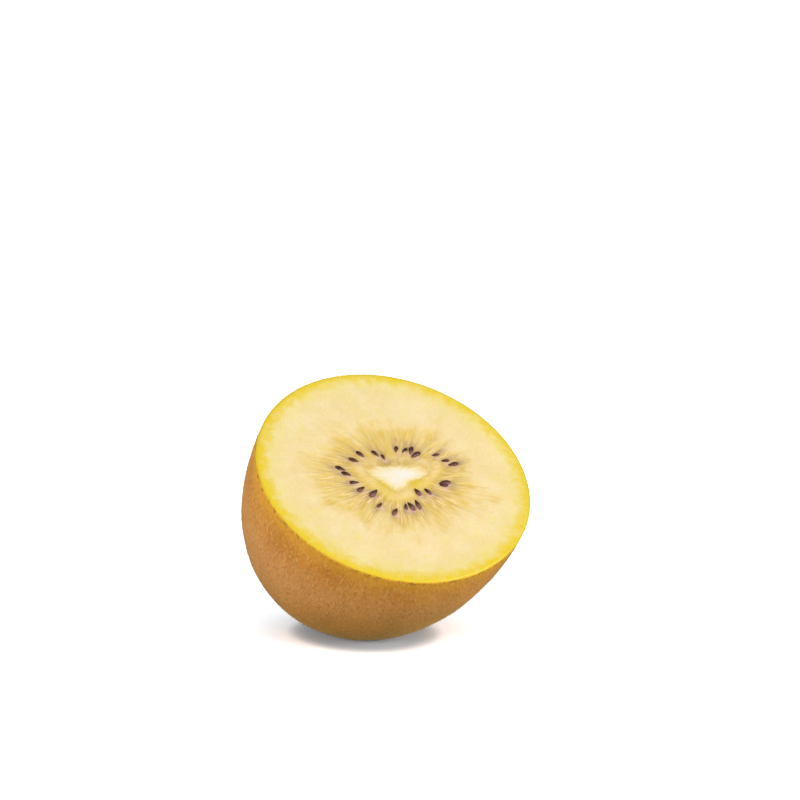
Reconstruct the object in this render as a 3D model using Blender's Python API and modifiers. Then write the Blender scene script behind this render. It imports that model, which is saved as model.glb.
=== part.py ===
"""Half of a golden kiwi fruit, cut across the middle and lying on its round side.

Four things make up the half: a thin skin, the yellow flesh inside it, the pale core that runs down
the flesh, and the small seeds in a ring round the core, which are fused to the flesh.
The origin is the middle of the flat spot that the half rests on, +Z is up, and the cut face leans
towards -Y. Metres.
"""
import math
import random

import bmesh
import bpy
from mathutils import Matrix, Vector

MM = 0.001

# The half fruit
FACE_RADIUS = 27.0 * MM
HALF_DEPTH = 37.25 * MM
ROUNDNESS = 2.1
FACE_TILT = math.radians(35.3)
AXIS_DRIFT = (0.073, -0.0614)
REST_DEPTH = 0.75 * MM
SKIN_THICKNESS = 0.6 * MM
FIT_GAP = 0.3 * MM

# The stem scar at the round end: a pit inside a raised ring
SCAR_PIT_RADIUS = 1.7 * MM
SCAR_PIT_DEPTH = 1.3 * MM
SCAR_RING_RADIUS = 3.1 * MM
SCAR_RING_HEIGHT = 0.7 * MM
SCAR_RING_WIDTH = 0.9 * MM

# The core: a long, rounded three-cornered outline, off the face's centre.
# Each edge has the turn that it faces and its distance from the core's own centre.
CORE_CENTRE = (1.0 * MM, 0.0)
CORE_EDGES = (
    (5.0, 7.9 * MM), (84.0, 3.05 * MM), (150.0, 7.0 * MM), (214.0, 4.2 * MM), (297.0, 3.05 * MM))
CORE_CORNER_SHARPNESS = 7.0
CORE_LENGTH = 27.0 * MM
CORE_END_SHARE = 0.55
CORE_DOME = 0.25 * MM
CORE_CROWN = ((0.0, 1.0), (0.6, 0.7), (1.0, 0.0))
CORE_SIDE_SHARES = (0.2, 0.5, 0.8)
CORE_TIP = ((0.48, 0.93), (0.27, 0.985), (0.0, 1.0))
SOCKET_TOP = 3.0 * MM

# The seed chambers and the seeds
SEED_COUNT = 25
SEED_DRAW = 58420
SEED_FIRST_TURN = 12.0
SEED_TURN_SPREAD = 8.0
SEED_BUNCHING = 0.08
SEED_BUNCHING_TURN = math.radians(20.0)
SEED_RING_GAP = 3.4 * MM
SEED_RING_SPREAD = 1.5 * MM
SEED_LENGTH = 2.4 * MM
SEED_WIDTH = 1.35 * MM
SEED_THICKNESS = 1.1 * MM
SEED_SUNK = 0.12 * MM
SEED_TAPER = 0.4
CHAMBER_LONG_RADIUS = 18.3 * MM
CHAMBER_SHORT_RADIUS = 14.5 * MM
CHAMBER_DEPTH = 0.35 * MM
CHAMBER_FADE = 2.0 * MM
CHAMBER_OUTER_SLOPE = 3.0
CHAMBER_RIDGE = 0.65

# Colours and roughness, as the photograph shows them
SKIN_TAN = (0.45, 0.21, 0.055)
SKIN_ROUGHNESS = 0.75
FLESH_YELLOW = (0.91, 0.68, 0.26)
FLESH_ROUGHNESS = 0.35
CORE_CREAM = (0.92, 0.82, 0.58)
CORE_ROUGHNESS = 0.45

# Fineness of the turned shapes
SKIN_STEPS = 64
SKIN_RINGS = 13
FLESH_STEPS = 100
FLESH_RINGS = 8
FACE_RING_RADII = (3.5, 6.5, 8.5, 10.5, 12.5, 14.5, 16.5, 18.5, 21.5)
SCAR_RING_RADII = (5.0, 4.1, 3.1, 2.3, 1.4, 0.6)
CORE_STEPS = 36
SEED_SIDES = 8
SEED_RINGS = 6
SIDE_SEARCH_STEPS = 2000
SHARP_ANGLE = math.radians(40.0)


def clear_scene():
    for old in list(bpy.data.objects):
        bpy.data.objects.remove(old, do_unlink=True)


def make_collection(name):
    collection = bpy.data.collections.new(name)
    bpy.context.scene.collection.children.link(collection)
    return collection


def make_material(name, colour, roughness):
    material = bpy.data.materials.new(name)
    material.use_nodes = True
    shader = material.node_tree.nodes["Principled BSDF"]
    shader.inputs["Base Color"].default_value = (*colour, 1.0)
    shader.inputs["Roughness"].default_value = roughness
    shader.inputs["Metallic"].default_value = 0.0
    return material


def scar_relief(radius):
    """How far the round end stands out (or in) at a distance from its pole."""
    ring = math.exp(-((radius - SCAR_RING_RADIUS) / SCAR_RING_WIDTH) ** 2)
    pit = math.exp(-((radius / SCAR_PIT_RADIUS) ** 2))
    return SCAR_RING_HEIGHT * ring - SCAR_PIT_DEPTH * pit


def side_point(angle, inset):
    """Radius and height of the fruit's side, from the rim (angle 0) to the pole (90 degrees).

    The side is a superellipse. The inset moves the point inwards, square to the side.
    """
    share = 2.0 / ROUNDNESS
    radius = FACE_RADIUS * max(math.cos(angle), 0.0) ** share
    depth = HALF_DEPTH * math.sin(angle) ** share
    slope = Vector((
        (radius / FACE_RADIUS) ** (ROUNDNESS - 1.0) / FACE_RADIUS,
        (depth / HALF_DEPTH) ** (ROUNDNESS - 1.0) / HALF_DEPTH,
    )).normalized()
    radius -= inset * slope.x
    depth -= inset * slope.y
    return max(radius, 0.0), -depth


def side_profile(rings, inset):
    """Profile of the side from the rim down to the pole, with close rings over the stem scar."""
    scar_edge = SCAR_RING_RADII[0] * MM
    last_angle = math.acos((scar_edge / FACE_RADIUS) ** (ROUNDNESS / 2.0))
    points = [side_point(last_angle * ring / rings, inset) for ring in range(rings)]
    for scar_radius in SCAR_RING_RADII:
        angle = math.acos((scar_radius * MM / FACE_RADIUS) ** (ROUNDNESS / 2.0))
        radius, height = side_point(angle, inset)
        points.append((radius, height - scar_relief(radius)))
    height = side_point(math.pi / 2.0, inset)[1]
    points.append((0.0, height - scar_relief(0.0)))
    return points


def turned_mesh(name, profile, steps):
    """Turn a profile of (radius, height) points about Z into a mesh."""
    outline = bpy.data.meshes.new(name + "_profile")
    edges = [(index, index + 1) for index in range(len(profile) - 1)]
    outline.from_pydata([(radius, 0.0, height) for radius, height in profile], edges, [])
    turner = bpy.data.objects.new(name + "_profile", outline)
    bpy.context.scene.collection.objects.link(turner)
    screw = turner.modifiers.new("Turn", "SCREW")
    screw.axis = "Z"
    screw.angle = 2.0 * math.pi
    screw.steps = steps
    screw.render_steps = steps
    screw.use_merge_vertices = True
    screw.merge_threshold = 0.00001
    evaluated = turner.evaluated_get(bpy.context.evaluated_depsgraph_get())
    mesh = bpy.data.meshes.new_from_object(evaluated)
    mesh.name = name
    bpy.data.objects.remove(turner, do_unlink=True)
    return mesh


def fruit_frame():
    """The matrix from the half's own frame to the part's frame.

    In the half's own frame the cut face is the XY plane and the pole is straight below its centre.
    The knife went through a little off square, so the fruit's axis drifts sideways with depth.
    The half is then tipped back by the tilt of its face, and set with its lowest stretch just
    under the ground plane, where the rest spot is cut.
    """
    drift = Matrix.Identity(4)
    drift[0][2] = AXIS_DRIFT[0]
    drift[1][2] = AXIS_DRIFT[1]
    lean = Matrix.Rotation(FACE_TILT, 4, "X") @ drift
    upward = lean[2].xy
    downhill = -upward.normalized()
    lowest = Vector((0.0, 0.0, 0.0))
    for step in range(SIDE_SEARCH_STEPS + 1):
        radius, height = side_point(0.5 * math.pi * step / SIDE_SEARCH_STEPS, 0.0)
        point = lean @ Vector((radius * downhill.x, radius * downhill.y, height))
        if point.z < lowest.z:
            lowest = point
    middle = lowest * (1.0 + REST_DEPTH / lowest.z)
    return Matrix.Translation(-middle) @ lean


def cut_flat(mesh, height):
    """Cut a mesh off level at a height and close the cut."""
    shape = bmesh.new()
    shape.from_mesh(mesh)
    parts = shape.verts[:] + shape.edges[:] + shape.faces[:]
    cut = bmesh.ops.bisect_plane(
        shape, geom=parts, plane_co=(0.0, 0.0, height), plane_no=(0.0, 0.0, 1.0), clear_inner=True)
    cut_edges = [item for item in cut["geom_cut"] if isinstance(item, bmesh.types.BMEdge)]
    bmesh.ops.contextual_create(shape, geom=cut_edges)
    bmesh.ops.recalc_face_normals(shape, faces=shape.faces[:])
    shape.to_mesh(mesh)
    shape.free()


def finish_piece(name, mesh, material, collection):
    mesh.materials.clear()
    mesh.materials.append(material)
    mesh.shade_smooth()
    mesh.set_sharp_from_angle(angle=SHARP_ANGLE)
    piece = bpy.data.objects.new(name, mesh)
    collection.objects.link(piece)
    return piece


def core_outline(turn, growth):
    """Radius of the core's outline at a turn about its centre, with its edges moved out."""
    nearness = 0.0
    for facing, distance in CORE_EDGES:
        towards = max(math.cos(turn - math.radians(facing)), 0.0) / (distance + growth)
        nearness += towards ** CORE_CORNER_SHARPNESS
    return nearness ** (-1.0 / CORE_CORNER_SHARPNESS)


def core_mesh(name, growth, top, dome):
    """The core's tapered plug, from its top down to its rounded end.

    It is turned with a radius of one millimetre and then widened to the core's outline.
    """
    length = CORE_LENGTH + growth
    profile = [(radius, top + dome * rise) for radius, rise in CORE_CROWN]
    for share in CORE_SIDE_SHARES:
        profile.append((1.0 - (1.0 - CORE_END_SHARE) * share, -length * share))
    profile += [(radius, -length * share) for radius, share in CORE_TIP]
    mesh = turned_mesh(name, [(radius * MM, height) for radius, height in profile], CORE_STEPS)
    for vertex in mesh.vertices:
        turn = math.atan2(vertex.co.y, vertex.co.x)
        widen = core_outline(turn, growth) / MM
        vertex.co.x = CORE_CENTRE[0] + vertex.co.x * widen
        vertex.co.y = CORE_CENTRE[1] + vertex.co.y * widen
    return mesh


def seed_places():
    """Turn about the core's centre and place on the face of each seed, by a seeded draw.

    The ring keeps its distance from the core's outline and bunches a little at its two far ends.
    """
    draw = random.Random(SEED_DRAW)
    places = []
    for index in range(SEED_COUNT):
        even = SEED_FIRST_TURN + 360.0 * index / SEED_COUNT
        even = math.radians(even + SEED_TURN_SPREAD * (2.0 * draw.random() - 1.0))
        turn = even - SEED_BUNCHING * math.sin(2.0 * (even - SEED_BUNCHING_TURN))
        distance = core_outline(turn, SEED_RING_GAP)
        distance += SEED_RING_SPREAD * (2.0 * draw.random() - 1.0)
        x = CORE_CENTRE[0] + distance * math.cos(turn)
        y = CORE_CENTRE[1] + distance * math.sin(turn)
        places.append((turn, x, y))
    return places


def chamber_relief(x, y):
    """Height of the cut face at a point: furrowed chambers sunk a little round the core."""
    across = x - CORE_CENTRE[0]
    along = y - CORE_CENTRE[1]
    turn = math.atan2(along, across)
    from_core = math.hypot(across, along) - core_outline(turn, 0.0)
    reach = math.hypot(x / CHAMBER_LONG_RADIUS, y / CHAMBER_SHORT_RADIUS)
    inner_fade = min(max(from_core / CHAMBER_FADE, 0.0), 1.0)
    outer_fade = min(max((1.0 - reach) * CHAMBER_OUTER_SLOPE, 0.0), 1.0)
    wave = math.cos(SEED_COUNT * (turn - math.radians(SEED_FIRST_TURN)))
    furrow = 1.0 - CHAMBER_RIDGE + CHAMBER_RIDGE * (0.5 + 0.5 * wave)
    return -CHAMBER_DEPTH * inner_fade * outer_fade * furrow


def add_seeds(flesh, frame, seeds_collection):
    """Set the seeds half sunk in the cut face and fuse them to the flesh."""
    half_size = (0.5 * SEED_LENGTH, 0.5 * SEED_WIDTH, 0.5 * SEED_THICKNESS)
    for turn, x, y in seed_places():
        shape = bmesh.new()
        bmesh.ops.create_uvsphere(shape, u_segments=SEED_SIDES, v_segments=SEED_RINGS, radius=1.0)
        shape.transform(Matrix.Rotation(math.pi / 2.0, 4, "Y"))
        for vertex in shape.verts:
            narrowing = 1.0 + SEED_TAPER * min(vertex.co.x, 0.0)
            vertex.co.y *= narrowing
            vertex.co.z *= narrowing
        shape.transform(Matrix.Diagonal((*half_size, 1.0)))
        place = Matrix.Translation((x, y, chamber_relief(x, y) - SEED_SUNK))
        shape.transform(frame @ place @ Matrix.Rotation(turn, 4, "Z"))
        mesh = bpy.data.meshes.new("seed")
        shape.to_mesh(mesh)
        shape.free()
        seeds_collection.objects.link(bpy.data.objects.new("seed", mesh))
    union = flesh.modifiers.new("Seeds", "BOOLEAN")
    union.operation = "UNION"
    union.solver = "EXACT"
    union.operand_type = "COLLECTION"
    union.collection = seeds_collection
    evaluated = flesh.evaluated_get(bpy.context.evaluated_depsgraph_get())
    fused = bpy.data.meshes.new_from_object(evaluated)
    flesh.modifiers.remove(union)
    flesh.data = fused
    for seed in list(seeds_collection.objects):
        bpy.data.objects.remove(seed, do_unlink=True)
    bpy.data.collections.remove(seeds_collection)


def build_skin(frame, collection):
    material = make_material("kiwi_skin", SKIN_TAN, SKIN_ROUGHNESS)
    mesh = turned_mesh("skin", side_profile(SKIN_RINGS, 0.0), SKIN_STEPS)
    mesh.transform(frame)
    cut_flat(mesh, 0.0)
    skin = finish_piece("skin", mesh, material, collection)
    wall = skin.modifiers.new("Wall", "SOLIDIFY")
    wall.thickness = SKIN_THICKNESS
    wall.offset = -1.0
    wall.use_even_offset = True
    return skin


def build_flesh(frame, collection, cutters):
    material = make_material("kiwi_flesh", FLESH_YELLOW, FLESH_ROUGHNESS)
    inset = SKIN_THICKNESS + FIT_GAP
    top = [(0.0, 0.0)] + [(radius * MM, 0.0) for radius in FACE_RING_RADII]
    side = side_profile(FLESH_RINGS, inset)
    mesh = turned_mesh("flesh", top + side, FLESH_STEPS)
    for vertex in mesh.vertices:
        if vertex.co.z > -FIT_GAP:
            vertex.co.z = chamber_relief(vertex.co.x, vertex.co.y)
    mesh.transform(frame)
    cut_flat(mesh, inset)
    flesh = finish_piece("flesh", mesh, material, collection)
    add_seeds(flesh, frame, make_collection("kiwi_seeds"))
    socket_mesh = core_mesh("core_socket", FIT_GAP, SOCKET_TOP, 0.0)
    socket_mesh.transform(frame)
    socket = bpy.data.objects.new("core_socket", socket_mesh)
    socket.hide_render = True
    socket.display_type = "WIRE"
    cutters.objects.link(socket)
    bore = flesh.modifiers.new("Core socket", "BOOLEAN")
    bore.operation = "DIFFERENCE"
    bore.solver = "EXACT"
    bore.object = socket
    return flesh


def build_core(frame, collection):
    material = make_material("kiwi_core", CORE_CREAM, CORE_ROUGHNESS)
    mesh = core_mesh("core", 0.0, 0.0, CORE_DOME)
    mesh.transform(frame)
    return finish_piece("core", mesh, material, collection)


clear_scene()
fruit = make_collection("golden_kiwi_half")
cutters = make_collection("cutters")
frame = fruit_frame()
build_skin(frame, fruit)
build_flesh(frame, fruit, cutters)
build_core(frame, fruit)
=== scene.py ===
import math
import random

import bpy
import numpy as np
from mathutils import Matrix, Vector, noise


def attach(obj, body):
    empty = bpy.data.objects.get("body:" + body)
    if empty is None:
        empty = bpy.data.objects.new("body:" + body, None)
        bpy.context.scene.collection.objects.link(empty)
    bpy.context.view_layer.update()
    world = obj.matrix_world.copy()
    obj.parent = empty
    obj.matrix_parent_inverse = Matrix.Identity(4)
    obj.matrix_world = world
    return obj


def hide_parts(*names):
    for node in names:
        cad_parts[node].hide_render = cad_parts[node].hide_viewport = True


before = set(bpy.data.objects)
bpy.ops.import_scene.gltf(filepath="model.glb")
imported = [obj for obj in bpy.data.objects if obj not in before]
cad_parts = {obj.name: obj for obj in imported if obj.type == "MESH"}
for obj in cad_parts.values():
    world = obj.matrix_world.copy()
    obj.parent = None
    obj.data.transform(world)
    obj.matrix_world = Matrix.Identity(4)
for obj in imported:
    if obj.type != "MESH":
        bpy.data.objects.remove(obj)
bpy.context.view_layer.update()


# The flesh: the juicy yellow body of the fruit, laid bare by one cut of a knife. Round the core it
# holds a ring of narrow seed chambers, split by pale walls that run outwards like rays. Outside them
# the flesh is an even cream, and it turns a strong yellow in the last few millimetres by the skin.
MM = 0.001  # metres in a millimetre, the unit of the lengths below
FACE_CENTRE = (2.3422, -9.3742, 32.6757)
FACE_TILT = math.radians(35.3)
AXIS_DRIFT = (0.073, -0.0614)  # how far the fruit's axis strays for each millimetre of depth
FRUIT_RADIUS = 27.0
HALF_DEPTH = 37.25
ROUNDNESS = 2.1
SKIN_WALL = 0.16
FACE_STEPS = 480
FACE_RINGS = 120
RING_CROWDING = 1.25  # draws the rings of the face together towards the core
FLESH_SIDE_RINGS = 16
FLESH_END_ANGLE = math.radians(80.0)
PIT_CLEARANCE = 1.8
EDGE_ROUNDING = 0.35
EDGE_RISE = 0.1
EDGE_RISE_WIDTH = 4.0

# The core's outline has, for each edge, the turn that it faces and its distance from the centre.
# Its taper has shares of its depth with shares of its width.
CORE_CENTRE = (1.0, 0.0)
CORE_EDGES = ((5.0, 7.9), (84.0, 3.05), (150.0, 7.0), (214.0, 4.2), (297.0, 3.05))
CORE_CORNER_SHARPNESS = 7.0
CORE_LENGTH = 27.0
CORE_TAPER = ((0.2, 0.91), (0.5, 0.775), (0.8, 0.64), (0.93, 0.48), (0.985, 0.27))

# The seeds stand one to a chamber, at even turns that a seeded draw unsettles.
SEED_COUNT = 25
SEED_DRAW = 58420
SEED_FIRST_TURN = 12.0
SEED_TURN_SPREAD = 8.0
SEED_BUNCHING = 0.08
SEED_BUNCHING_TURN = math.radians(20.0)
SEED_RING_GAP = 3.4
SEED_RING_SPREAD = 1.5

# The chambers end in an oval. Each fade has its start and its end, as shares of that oval or as
# distances from the core. Each noise has its fineness round the core and outwards, and its start.
CHAMBER_LONG_RADIUS = 18.3
CHAMBER_SHORT_RADIUS = 14.5
CHAMBER_DEPTH = 0.22
CHAMBER_FADE = (0.62, 1.1)
CHAMBER_START = (0.6, 3.0)
CHAMBER_RAGGEDNESS = 0.26
CHAMBER_RIDGE = 0.75
WALL_FADE = (0.5, 1.1)
WALL_START = (2.2, 4.0)
RAGGED_NOISE = (4.0, 5.0, 0.0)
RAY_NOISE = (9.0, 2.6, 5.0)
FINE_RAY_NOISE = (26.0, 8.0, 9.0)
RAGGED_RAY_SHARE = 0.45
RAGGED_FINE_RAY_SHARE = 0.2
RIDGE_RAY_SHARE = 0.75
RIDGE_FINE_RAY_SHARE = 0.45
RIDGE_FADE = (-0.45, 0.45)
FINE_RAY_RELIEF = 0.03
FINE_RAY_FADE = (1.3, 0.7)
FACE_WAVES = 0.06
FACE_WAVE_NOISE = 0.18
RIM_CALM = (1.0, 0.9)
CORE_CALM = (0.1, 1.5)

# What each seed leaves on the flesh: its pocket, a dark smudge behind it that is the chamber's own colour
# with painted shade of the pocket, and a pale aril below it that is partly a painted glint.
POCKET_DEPTH = 0.3
POCKET_REACH = (1.55, 0.95)
SMUDGE_AND_SHADE_SHIFT = 0.9
SMUDGE_AND_SHADE_REACH = (1.7, 0.8)
ARIL_AND_GLINT_SHIFT = 0.1
ARIL_AND_GLINT_DROP = 0.72
ARIL_AND_GLINT_FURTHER_DROP = 0.5
ARIL_AND_GLINT_REACH = (0.62, 0.5)

# Patches of colour beside the core: the turn of each one's middle, and half of its width.
GOLD_PATCHES = ((216.0, 28.0), (320.0, 31.0))
OLIVE_PATCHES = ((88.0, 50.0),)

# What counts as the rim's distance in the core's socket, and as the core's distance down the side
FAR_FROM_RIM = 20.0
FAR_FROM_CORE = 25.0


def to_frame(x, y, z):
    """Points of the half's own frame, in millimetres, as places in the part's frame, in metres."""
    x = x + AXIS_DRIFT[0] * z
    y = y + AXIS_DRIFT[1] * z
    lean_y = y * math.cos(FACE_TILT) - z * math.sin(FACE_TILT)
    lean_z = y * math.sin(FACE_TILT) + z * math.cos(FACE_TILT)
    return np.stack([x, lean_y, lean_z], axis=-1) * MM + np.array(FACE_CENTRE) * MM


def side_point(angle, inset):
    """Radius and height of the fruit's side, from the rim (angle 0) to the pole."""
    share = 2.0 / ROUNDNESS
    radius = FRUIT_RADIUS * math.cos(angle) ** share
    depth = HALF_DEPTH * math.sin(angle) ** share
    slope = Vector((
        (radius / FRUIT_RADIUS) ** (ROUNDNESS - 1.0) / FRUIT_RADIUS,
        (depth / HALF_DEPTH) ** (ROUNDNESS - 1.0) / HALF_DEPTH,
    )).normalized()
    return radius - inset * slope.x, -(depth - inset * slope.y)


def core_outline(turn, growth):
    """Radius of the core's outline at turns about its centre, with its edges moved out."""
    nearness = 0.0
    for facing, distance in CORE_EDGES:
        share = np.maximum(np.cos(turn - math.radians(facing)), 0.0) / (distance + growth)
        nearness = nearness + share ** CORE_CORNER_SHARPNESS
    return nearness ** (-1.0 / CORE_CORNER_SHARPNESS)


def about_core(turn, radius):
    """Places on the face at turns and distances about the core's centre, as x and y."""
    return CORE_CENTRE[0] + radius * np.cos(turn), CORE_CENTRE[1] + radius * np.sin(turn)


def towards(turn, patches):
    """How far turns about the core look towards some patches, each a middle and a half width."""
    share = np.zeros_like(turn)
    for middle, half_width in patches:
        off = np.angle(np.exp(1j * (turn - math.radians(middle))))
        share = share + np.exp(-(off / math.radians(half_width)) ** 2)
    return share


def fade(value, start, end):
    """Smooth step from 0 at the start to 1 at the end."""
    share = np.clip((value - start) / (end - start), 0.0, 1.0)
    return share * share * (3.0 - 2.0 * share)


def spot(along, across, reach, sharpness=2):
    """A soft oval spot, 1 in its middle and almost 0 past its reach along and across."""
    return np.exp(-(along / reach[0]) ** sharpness - (across / reach[1]) ** sharpness)


def drift_noise(x, y, z, octaves=3):
    """Smooth noise at many points, about -1 to 1."""
    points = zip(np.ravel(x), np.ravel(y), np.ravel(z))
    values = [noise.fractal(Vector(point), 1.0, 2.0, octaves) for point in points]
    return np.array(values).reshape(np.shape(x))


def seed_places():
    """Turn and place of each seed on the face: one to a chamber, by the seeded draw."""
    draw = random.Random(SEED_DRAW)
    places = []
    for index in range(SEED_COUNT):
        even = SEED_FIRST_TURN + 360.0 * index / SEED_COUNT
        even = math.radians(even + SEED_TURN_SPREAD * (2.0 * draw.random() - 1.0))
        turn = even - SEED_BUNCHING * math.sin(2.0 * (even - SEED_BUNCHING_TURN))
        distance = float(core_outline(turn, SEED_RING_GAP))
        distance += SEED_RING_SPREAD * (2.0 * draw.random() - 1.0)
        x = CORE_CENTRE[0] + distance * math.cos(turn)
        y = CORE_CENTRE[1] + distance * math.sin(turn)
        places.append((turn, x, y))
    return places


def ring_mesh(name, rings, first_centre, last_centre):
    """A closed mesh through a stack of rings with a centre point at each end."""
    ring_count, steps = rings.shape[:2]
    points = np.concatenate([rings.reshape(-1, 3), [first_centre], [last_centre]])
    index = np.arange(ring_count * steps).reshape(ring_count, steps)
    beside = np.roll(index, -1, axis=1)
    quads = np.stack([index[:-1], index[1:], beside[1:], beside[:-1]], axis=-1).reshape(-1, 4)
    first = ring_count * steps
    faces = quads.tolist()
    faces += [(first, a, b) for a, b in zip(index[0].tolist(), beside[0].tolist())]
    faces += [(first + 1, b, a) for a, b in zip(index[-1].tolist(), beside[-1].tolist())]
    mesh = bpy.data.meshes.new(name)
    mesh.from_pydata(points.tolist(), [], faces)
    mesh.shade_smooth()
    return mesh


def store(mesh, name, values):
    """Keep one number for each point of a mesh under a name that its material reads."""
    padded = np.zeros(len(mesh.vertices))
    padded[:len(values)] = values
    mesh.attributes.new(name, "FLOAT", "POINT").data.foreach_set("value", padded)


def put_in_scene(name, data):
    """An object for a mesh, a lamp or a camera, linked into the scene."""
    thing = bpy.data.objects.new(name, data)
    bpy.context.scene.collection.objects.link(thing)
    return thing


seeds = seed_places()
turns = np.linspace(0.0, 2.0 * math.pi, FACE_STEPS, endpoint=False)
face_share = np.linspace(0.0, 1.0, FACE_RINGS) ** RING_CROWDING
outline = core_outline(turns, 0.0)
inner_x, inner_y = about_core(turns, outline)
flesh_radius = FRUIT_RADIUS - 0.5 * SKIN_WALL
share_grid = face_share[:, None] * np.ones(FACE_STEPS)
face_x = inner_x + (flesh_radius * np.cos(turns) - inner_x) * share_grid
face_y = inner_y + (flesh_radius * np.sin(turns) - inner_y) * share_grid
face_radius = np.hypot(face_x, face_y)
from_core = np.hypot(face_x - inner_x, face_y - inner_y)
ray_x = np.cos(turns) * np.ones_like(face_x)
ray_y = np.sin(turns) * np.ones_like(face_x)


def ray_noise(around, outwards, start):
    """Noise that is drawn out along the rays, so fine round the core and outwards."""
    return drift_noise(ray_x * around, ray_y * around, share_grid * outwards + start)


ragged = ray_noise(*RAGGED_NOISE)
reach = np.hypot(face_x / CHAMBER_LONG_RADIUS, face_y / CHAMBER_SHORT_RADIUS)
rays = ray_noise(*RAY_NOISE)
fine_rays = ray_noise(*FINE_RAY_NOISE)
ragged += RAGGED_RAY_SHARE * rays + RAGGED_FINE_RAY_SHARE * fine_rays
ragged *= CHAMBER_RAGGEDNESS
chambers = 1.0 - fade(reach, CHAMBER_FADE[0] + ragged, CHAMBER_FADE[1] + ragged)
chambers = chambers * fade(from_core, *CHAMBER_START)
ridges = fade(rays * RIDGE_RAY_SHARE + fine_rays * RIDGE_FINE_RAY_SHARE, *RIDGE_FADE)
walls = 1.0 - fade(reach, WALL_FADE[0] + ragged, WALL_FADE[1] + ragged)
walls = walls * fade(from_core, *WALL_START)

pockets = np.zeros_like(face_x)
smudges_and_shade = np.zeros_like(face_x)
arils_and_glints = np.zeros_like(face_x)
for turn, x, y in seeds:
    along = (face_x - x) * math.cos(turn) + (face_y - y) * math.sin(turn)
    across = (face_y - y) * math.cos(turn) - (face_x - x) * math.sin(turn)
    pockets = np.maximum(pockets, spot(along, across, POCKET_REACH, 4))
    # Dark smudge behind each seed: the chamber's own darker colour together with painted shade of the
    # pocket.
    smudges_and_shade = np.maximum(smudges_and_shade, spot(along - SMUDGE_AND_SHADE_SHIFT, across, SMUDGE_AND_SHADE_REACH))
    # Pale spot below each seed: the aril's pale colour together with a painted glint.
    below = face_y - y + ARIL_AND_GLINT_DROP + ARIL_AND_GLINT_FURTHER_DROP * abs(math.sin(turn))
    arils_and_glints = np.maximum(arils_and_glints, spot(face_x - x - ARIL_AND_GLINT_SHIFT, below, ARIL_AND_GLINT_REACH))

relief = -CHAMBER_DEPTH * chambers * (1.0 - CHAMBER_RIDGE + CHAMBER_RIDGE * ridges)
relief -= POCKET_DEPTH * pockets * (1.0 - 0.5 * chambers)
unevenness = FACE_WAVES * drift_noise(face_x * FACE_WAVE_NOISE, face_y * FACE_WAVE_NOISE, 0.0 * face_x, 2)
unevenness += FINE_RAY_RELIEF * fine_rays * fade(reach, *FINE_RAY_FADE)
relief += unevenness * fade(face_share[:, None], *RIM_CALM) * fade(from_core, *CORE_CALM)
edge = np.clip((EDGE_ROUNDING - (flesh_radius - face_radius)) / EDGE_ROUNDING, 0.0, 1.0)
relief += EDGE_RISE * fade(face_radius, flesh_radius - EDGE_RISE_WIDTH, flesh_radius - EDGE_ROUNDING)
relief -= EDGE_ROUNDING * 0.5 * (1.0 - np.sqrt(1.0 - np.minimum(edge, 0.999) ** 2))

socket_rows = [
    (*about_core(turns, outline * width), -CORE_LENGTH * share) for share, width in reversed(CORE_TAPER)]
face_rows = [(face_x[row], face_y[row], relief[row]) for row in range(FACE_RINGS)]
side_rows = []
for row in range(1, FLESH_SIDE_RINGS + 1):
    radius, height = side_point(FLESH_END_ANGLE * row / FLESH_SIDE_RINGS, SKIN_WALL)
    side_rows.append((radius * np.cos(turns), radius * np.sin(turns), height))
rings = np.stack([to_frame(*row) for row in socket_rows + face_rows + side_rows])
rings[:, :, 2] = np.maximum(rings[:, :, 2], SKIN_WALL * MM)
socket_end = to_frame(*CORE_CENTRE, -CORE_LENGTH)
pole = to_frame(0.0, 0.0, -HALF_DEPTH + PIT_CLEARANCE)
flesh_mesh = ring_mesh("flesh_body", rings, socket_end, pole)

socket_lead = np.zeros(len(socket_rows) * FACE_STEPS)
for name, values in (
        ("chambers", chambers), ("golds", np.tile(towards(turns, GOLD_PATCHES), FACE_RINGS)),
        ("olives", np.tile(towards(turns, OLIVE_PATCHES), FACE_RINGS)), ("smudges_and_shade", smudges_and_shade),
        ("walls", walls), ("arils_and_glints", arils_and_glints), ("ray_x", ray_x), ("ray_y", ray_y)):
    store(flesh_mesh, name, np.concatenate([socket_lead, np.ravel(values)]))
rim_distance = np.ravel(flesh_radius - face_radius)
store(flesh_mesh, "rim_distance", np.concatenate([socket_lead + FAR_FROM_RIM, rim_distance]))
side_distance = np.full(FLESH_SIDE_RINGS * FACE_STEPS, FAR_FROM_CORE)
store(flesh_mesh, "core_distance", np.concatenate([socket_lead, from_core.ravel(), side_distance]))


def feed(tree, socket, value):
    """Set a socket to a value, or link it when the value is another node's output."""
    if isinstance(value, bpy.types.NodeSocket):
        tree.links.new(value, socket)
    else:
        socket.default_value = value


def add_node(tree, kind, inputs=None, **settings):
    """A node with its settings, and with its inputs fed by their names or numbers."""
    node = tree.nodes.new(kind)
    for name, value in settings.items():
        setattr(node, name, value)
    for name, value in (inputs or {}).items():
        feed(tree, node.inputs[name], value)
    return node


def new_group(name, kind, inputs, outputs):
    """A node group, and its ends, with named inputs and outputs."""
    group = bpy.data.node_groups.new(name, kind)
    for in_out, sockets in (("INPUT", inputs), ("OUTPUT", outputs)):
        for label, value_kind in sockets:
            group.interface.new_socket(label, in_out=in_out, socket_type="NodeSocket" + value_kind)
    given = group.nodes.new("NodeGroupInput").outputs
    end = group.nodes.new("NodeGroupOutput").inputs
    return group, given, end


def placed(tree, group, inputs):
    """The outputs of a node group that is placed in a material with its own values."""
    return add_node(tree, "ShaderNodeGroup", inputs, node_tree=group).outputs


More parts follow.
